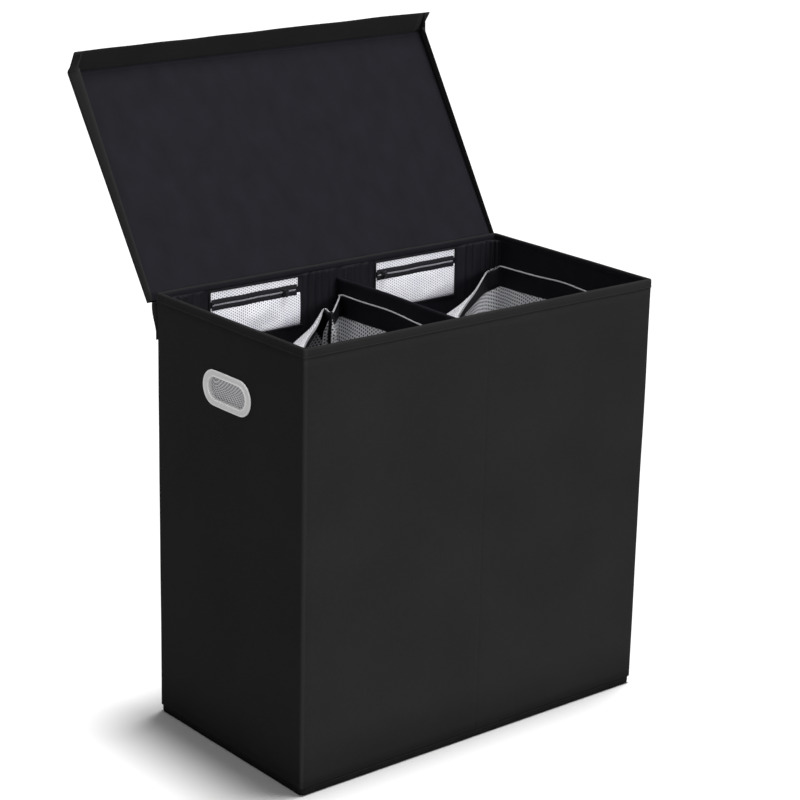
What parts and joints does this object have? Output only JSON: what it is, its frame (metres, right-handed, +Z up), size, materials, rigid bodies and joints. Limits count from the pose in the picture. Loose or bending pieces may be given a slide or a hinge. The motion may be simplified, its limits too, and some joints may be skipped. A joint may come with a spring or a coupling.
{
  "type": "laundry hamper with two bins",
  "caption": "Tall rectangular cloth laundry hamper with a lid that leans back, a divider, lift-out mesh bags, zipped mesh pockets and hand slots in its ends.",
  "frame": {"origin": "centre of the body's footprint, on the floor", "axes": "+X to the right along the long front wall, +Y from the front to the back where the lid hangs, +Z up"},
  "size_m": [0.664, 0.5578, 0.9664],
  "materials": {
    "cover_cloth": "plain weave",
    "lining_cloth": "thin non-woven",
    "stiffener_board": "plain",
    "slot_plastic": "satin",
    "pocket_mesh": "open mesh",
    "bag_mesh": "open mesh",
    "hem_tape": "twill tape",
    "zip_tape": "woven tape",
    "zip_teeth": "moulded",
    "zip_metal": "dark enamel"
  },
  "bodies": {
    "hamper_body": {"back_cover": "cover_cloth", "left_cover": "cover_cloth", "front_cover": "cover_cloth", "right_cover": "cover_cloth", "back_lining": "lining_cloth", "left_lining": "lining_cloth", "front_lining": "lining_cloth", "right_lining": "lining_cloth", "back_rim_binding": "cover_cloth", "left_rim_binding": "cover_cloth", "front_rim_binding": "cover_cloth", "right_rim_binding": "cover_cloth", "back_left_board": "stiffener_board", "back_right_board": "stiffener_board", "left_board": "stiffener_board", "front_left_board": "stiffener_board", "front_right_board": "stiffener_board", "right_board": "stiffener_board", "base_cloth": "cover_cloth", "base_board": "stiffener_board", "divider_front_strip": "lining_cloth", "divider_back_strip": "lining_cloth", "left_slot_collar": "slot_plastic", "left_slot_ring": "slot_plastic", "left_slot_mesh": "bag_mesh", "left_pocket_top_mesh": "pocket_mesh", "left_pocket_mesh": "pocket_mesh", "left_pocket_binding": "lining_cloth", "left_zip_upper_tape": "zip_tape", "left_zip_lower_tape": "zip_tape", "left_zip_chain": "zip_teeth", "right_slot_collar": "slot_plastic", "right_slot_ring": "slot_plastic", "right_slot_mesh": "bag_mesh", "right_pocket_top_mesh": "pocket_mesh", "right_pocket_mesh": "pocket_mesh", "right_pocket_binding": "lining_cloth", "right_zip_upper_tape": "zip_tape", "right_zip_lower_tape": "zip_tape", "right_zip_chain": "zip_teeth", "lid_flap": "cover_cloth"},
    "lid": {"lid_lining": "lining_cloth", "lid_board": "stiffener_board", "lid_cover": "cover_cloth", "lid_front_lip": "cover_cloth", "lid_left_lip": "cover_cloth", "lid_right_lip": "cover_cloth"},
    "divider": {"divider_cover": "lining_cloth", "divider_board": "stiffener_board"},
    "left_bag": {"left_bag": "bag_mesh", "left_bag_band": "lining_cloth", "left_bag_hem": "hem_tape"},
    "left_zip_slider": {"left_zip_slider": "zip_metal"},
    "left_zip_pull": {"left_zip_pull": "zip_metal"},
    "right_bag": {"right_bag": "bag_mesh", "right_bag_band": "lining_cloth", "right_bag_hem": "hem_tape"},
    "right_zip_slider": {"right_zip_slider": "zip_metal"},
    "right_zip_pull": {"right_zip_pull": "zip_metal"}
  },
  "joints": [
    {"name": "lid_hinge", "type": "hinge", "parent": "hamper_body", "child": "lid", "pos_m": [0, 0.17775, 0.63996], "axis": [-1, 0, 0], "range_deg": [-122.7, 0], "deforming": ["lid_flap"]},
    {"name": "left_bag_lift", "type": "slide", "parent": "hamper_body", "child": "left_bag", "axis": [0, 0, 1], "range_m": [0, 0.66]},
    {"name": "right_bag_lift", "type": "slide", "parent": "hamper_body", "child": "right_bag", "axis": [0, 0, 1], "range_m": [0, 0.66]},
    {"name": "divider_lift", "type": "slide", "parent": "hamper_body", "child": "divider", "axis": [0, 0, 1], "range_m": [0, 0.66]},
    {"name": "left_zip_slide", "type": "slide", "parent": "hamper_body", "child": "left_zip_slider", "axis": [1, 0, 0], "range_m": [-0.1245, 0.0175]},
    {"name": "left_zip_pull_swing", "type": "hinge", "parent": "left_zip_slider", "child": "left_zip_pull", "pos_m": [-0.099, 0.1621, 0.616], "axis": [1, 0, 0], "range_deg": [-150, 0]},
    {"name": "right_zip_slide", "type": "slide", "parent": "hamper_body", "child": "right_zip_slider", "axis": [1, 0, 0], "range_m": [-0.0065, 0.1355]},
    {"name": "right_zip_pull_swing", "type": "hinge", "parent": "right_zip_slider", "child": "right_zip_pull", "pos_m": [0.088, 0.1621, 0.616], "axis": [1, 0, 0], "range_deg": [-150, 0]}
  ]
}
